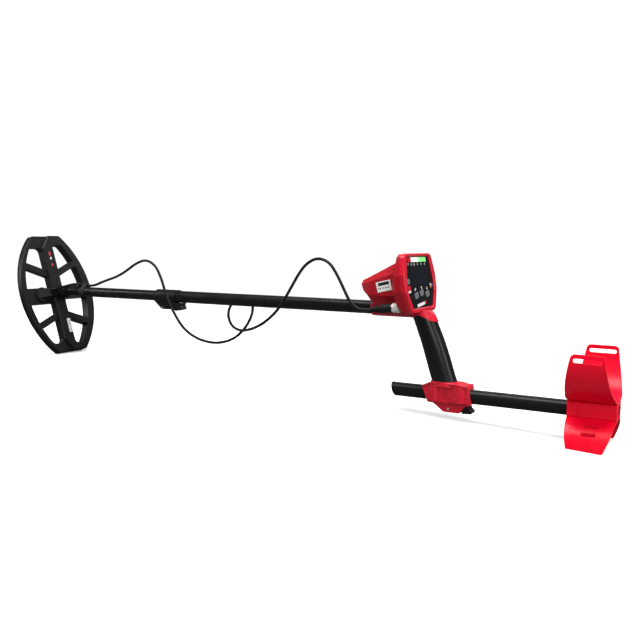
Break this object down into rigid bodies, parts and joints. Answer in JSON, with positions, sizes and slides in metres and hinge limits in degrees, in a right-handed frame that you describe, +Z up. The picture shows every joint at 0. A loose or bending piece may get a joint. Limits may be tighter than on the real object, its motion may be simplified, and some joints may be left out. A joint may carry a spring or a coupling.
{
  "type": "metal detector",
  "caption": "Collapsible hobby metal detector standing on its pivoting open-frame coil and forearm rest, with a control pod on a pistol grip, sliding shafts and a looping coil cable.",
  "frame": {"origin": "on the ground under the middle of the detector's footprint, cable and plug left out", "axes": "+X from the coil towards the user's elbow, +Y to the user's right, +Z up; it stands on the coil's heel and the armrest's feet"},
  "size_m": [1.1856, 0.178, 0.2561],
  "materials": {
    "skid_plastic": "satin black moulded plastic",
    "coil_plastic": "satin black moulded plastic",
    "winding_tape": "taped enamelled wire",
    "circuit_board": "green lacquer with black components",
    "label_paper": "plain white sticker",
    "black_rubber": "matt black rubber",
    "fastener_plastic": "black moulded nylon",
    "lock_plastic": "fine-grained black plastic",
    "shaft_tube": "satin black anodised tube",
    "fabric_strap": "black hook-and-loop webbing",
    "steel": "plain steel",
    "pod_red": "semi-gloss red plastic",
    "bezel_red": "glossy red plastic",
    "window_black": "glossy smoked window",
    "key_red": "soft silicone key",
    "key_grey": "soft silicone key",
    "lcd_glass": "dark display glass",
    "cell_sleeve": "plain sleeved cells",
    "contact_brass": "plated spring plate",
    "speaker_black": "black cone and basket",
    "connector_white": "white moulded plastic",
    "grip_black": "smooth black grip",
    "armrest_red": "glossy crimson plastic",
    "cable_black": "black cable sheath"
  },
  "bodies": {
    "detector": {"middle_tube": "shaft_tube", "front_lock_body": "lock_plastic", "front_lock_pin": "steel", "front_lock_pad": "black_rubber", "pod_body": "pod_red", "pod_screws": "steel", "pod_bezel": "bezel_red", "display_lens": "window_black", "lcd_module": "lcd_glass", "main_board": "circuit_board", "battery_cells": "cell_sleeve", "battery_tray": "lock_plastic", "battery_contacts": "contact_brass", "speaker": "speaker_black", "side_label": "label_paper", "coil_socket": "steel", "connector_body": "black_rubber", "connector_boot": "black_rubber", "handle_frame": "pod_red", "grip_sleeve": "grip_black", "rear_clamp_cap": "pod_red", "clamp_screws": "steel", "rear_lock_pin": "steel", "rear_lock_pad": "black_rubber", "coil_cable_main": "cable_black"},
    "lower_shaft": {"lower_tube": "shaft_tube", "shaft_end_fitting": "lock_plastic", "pivot_washers": "black_rubber", "lower_tube_bushing": "lock_plastic", "cable_strap": "fabric_strap", "coil_cable_front": "cable_black"},
    "coil": {"skid_plate": "skid_plastic", "coil_bottom_shell": "coil_plastic", "coil_top_shell": "coil_plastic", "transmit_winding": "winding_tape", "receive_winding": "winding_tape", "coil_board": "circuit_board", "coil_label": "label_paper", "cable_gland": "black_rubber", "pivot_bolt": "fastener_plastic"},
    "coil_thumb_nut": {"coil_knob": "fastener_plastic"},
    "front_cam_lever": {"front_lever": "lock_plastic"},
    "rear_cam_lever": {"rear_lever": "lock_plastic"},
    "arm_shaft": {"arm_tube": "shaft_tube", "arm_tube_front_plug": "lock_plastic", "arm_tube_rear_plug": "lock_plastic", "armrest": "armrest_red", "armrest_screws": "armrest_red"},
    "door": {"battery_door": "pod_red"},
    "key_power": {"power_key": "key_red"},
    "key_left": {"left_key": "key_grey"},
    "key_middle": {"middle_key": "key_grey"},
    "key_right": {"right_key": "key_grey"},
    "plug_nut": {"connector_nut": "connector_white"}
  },
  "joints": [
    {"name": "lower_shaft_slide", "type": "slide", "parent": "detector", "child": "lower_shaft", "axis": [0.9989, 0, 0.0462], "range_m": [-0.18, 0.12], "deforming": ["coil_cable_main"]},
    {"name": "coil_pivot", "type": "hinge", "parent": "lower_shaft", "child": "coil", "pos_m": [-0.51812, 0, 0.13038], "axis": [0, 1, 0], "range_deg": [-72, 35], "deforming": ["coil_cable_front"]},
    {"name": "coil_thumb_nut_spin", "type": "hinge", "parent": "coil", "child": "coil_thumb_nut", "pos_m": [-0.51812, 0.024, 0.13038], "axis": [0, 1, 0], "continuous": true},
    {"name": "front_lever_swing", "type": "hinge", "parent": "detector", "child": "front_cam_lever", "pos_m": [-0.24183, 0, 0.12183], "axis": [0, 1, 0], "range_deg": [0, 100]},
    {"name": "rear_lever_swing", "type": "hinge", "parent": "detector", "child": "rear_cam_lever", "pos_m": [0.34501, 0, 0.01753], "axis": [0, 1, 0], "range_deg": [0, 100]},
    {"name": "arm_shaft_slide", "type": "slide", "parent": "detector", "child": "arm_shaft", "axis": [0.9989, 0, 0.0462], "range_m": [-0.135, 0.045]},
    {"name": "battery_door_lift", "type": "slide", "parent": "detector", "child": "door", "axis": [-0.481, 0, 0.8767], "range_m": [0, 0.03]},
    {"name": "plug_nut_spin", "type": "hinge", "parent": "detector", "child": "plug_nut", "pos_m": [0.26084, -0.038, 0.17091], "axis": [0.9859, 0, 0.1676], "continuous": true},
    {"name": "power_key_press", "type": "slide", "parent": "detector", "child": "key_power", "axis": [-0.9805, 0, -0.1968], "range_m": [0, 0.0008], "stiffness_N_per_m": 900, "springref_m": -0.0004},
    {"name": "left_key_press", "type": "slide", "parent": "detector", "child": "key_left", "axis": [-0.9805, 0, -0.1968], "range_m": [0, 0.0008], "stiffness_N_per_m": 900, "springref_m": -0.0004},
    {"name": "middle_key_press", "type": "slide", "parent": "detector", "child": "key_middle", "axis": [-0.9805, 0, -0.1968], "range_m": [0, 0.0008], "stiffness_N_per_m": 900, "springref_m": -0.0004},
    {"name": "right_key_press", "type": "slide", "parent": "detector", "child": "key_right", "axis": [-0.9805, 0, -0.1968], "range_m": [0, 0.0008], "stiffness_N_per_m": 900, "springref_m": -0.0004}
  ]
}
